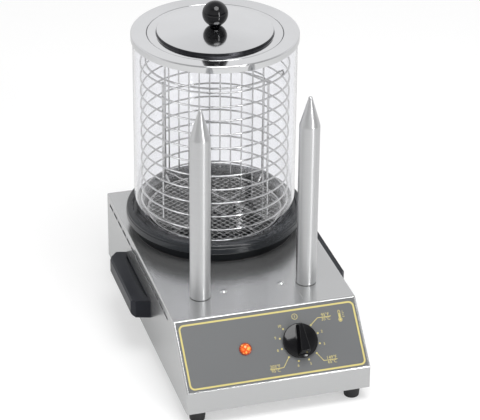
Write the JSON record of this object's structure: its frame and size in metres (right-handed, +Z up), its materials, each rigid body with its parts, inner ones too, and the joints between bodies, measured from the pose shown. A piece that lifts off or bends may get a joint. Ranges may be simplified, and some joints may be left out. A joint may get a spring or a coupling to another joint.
{
  "type": "hot dog steamer with bun spikes",
  "caption": "Countertop hot dog steamer: stainless casing, glass cylinder with wire basket over a heated water bowl, lid with ball knob, heated bun spikes, thermostat knob and pilot lamp.",
  "frame": {"origin": "middle of the overall footprint, on the surface that the feet stand on", "axes": "+X to the user's right along the control face, -Y out of the control face, +Z up"},
  "size_m": [0.273, 0.394, 0.4096],
  "materials": {
    "brushed_stainless": "fine brushed",
    "polished_stainless": "polished",
    "satin_aluminium": "turned, satin",
    "coated_casting": "dark non-stick coat",
    "glass": "clear",
    "bright_wire": "bright plated wire",
    "mesh_steel": "expanded sheet",
    "black_moulding": "fine moulded texture",
    "black_gloss": "high gloss",
    "panel_grey": "printed, satin",
    "rubber": "matt",
    "lamp_orange": "translucent, lit",
    "ivory_silicone": "satin silicone",
    "black_silicone": "satin silicone",
    "brass": "turned",
    "copper": "drawn tube",
    "element_steel": "heat stained",
    "zinc_steel": "zinc plated",
    "white_ceramic": "glazed",
    "sleeving": "woven glass sleeve"
  },
  "bodies": {
    "base": {"casing": "brushed_stainless", "rear_panel": "brushed_stainless", "base_plate": "brushed_stainless", "control_panel": "panel_grey", "bowl": "coated_casting", "bowl_gasket": "black_silicone", "bowl_retaining_ring": "zinc_steel", "heat_spreader": "satin_aluminium", "heating_element": "element_steel", "heater_clamp": "zinc_steel", "heater_nut": "zinc_steel", "spike_left": "satin_aluminium", "spike_right": "satin_aluminium", "spike_heater_left": "element_steel", "spike_heater_right": "element_steel", "spike_nuts": "zinc_steel", "spike_gaskets": "ivory_silicone", "handle_left": "black_moulding", "handle_right": "black_moulding", "handle_screws": "zinc_steel", "foot_front_left": "rubber", "foot_front_right": "rubber", "foot_rear_left": "rubber", "foot_rear_right": "rubber", "foot_screws": "zinc_steel", "foot_nuts": "zinc_steel", "thermostat_body": "white_ceramic", "thermostat_bush": "brass", "thermostat_nut": "zinc_steel", "thermostat_capillary": "copper", "thermostat_bulb": "copper", "lamp_lens": "lamp_orange", "lamp_body": "white_ceramic", "lamp_nut": "black_moulding", "terminal_block": "white_ceramic", "terminal_bracket": "zinc_steel", "bracket_rivets": "polished_stainless", "safety_cutout": "black_moulding", "cable_gland": "black_moulding", "gland_nut": "black_moulding", "rear_screws": "zinc_steel", "base_screws": "zinc_steel", "wiring": "sleeving"},
    "glass": {"glass_cylinder": "glass"},
    "basket": {"basket_rings": "bright_wire", "basket_uprights": "bright_wire", "basket_partition": "bright_wire", "basket_floor": "mesh_steel", "basket_floor_ring": "bright_wire", "basket_floor_wires": "bright_wire", "basket_lugs": "bright_wire"},
    "bail": {"basket_bail": "bright_wire"},
    "lid": {"lid_shell": "polished_stainless", "lid_knob": "black_gloss", "lid_gasket": "ivory_silicone", "lid_screw": "zinc_steel"},
    "knob": {"control_knob": "black_gloss", "thermostat_spindle": "zinc_steel"}
  },
  "joints": [
    {"name": "glass_lift", "type": "slide", "parent": "base", "child": "glass", "axis": [0, 0, 1], "range_m": [0, 0.12]},
    {"name": "basket_lift", "type": "slide", "parent": "glass", "child": "basket", "axis": [0, 0, 1], "range_m": [0, 0.26]},
    {"name": "lid_lift", "type": "slide", "parent": "basket", "child": "lid", "axis": [0, 0, 1], "range_m": [0, 0.12]},
    {"name": "bail_swing", "type": "hinge", "parent": "basket", "child": "bail", "pos_m": [0, 0.0848, 0.3349], "axis": [-0.7547, 0.6561, 0], "range_deg": [0, 90]},
    {"name": "thermostat_turn", "type": "hinge", "parent": "base", "child": "knob", "pos_m": [0.0335, -0.16784, 0.078], "axis": [0, 0.7014, -0.7128], "range_deg": [0, 315]}
  ],
  "couplings": [
    {"joint": "bail_swing", "follows": "lid_lift", "rad_per_m": 13}
  ]
}
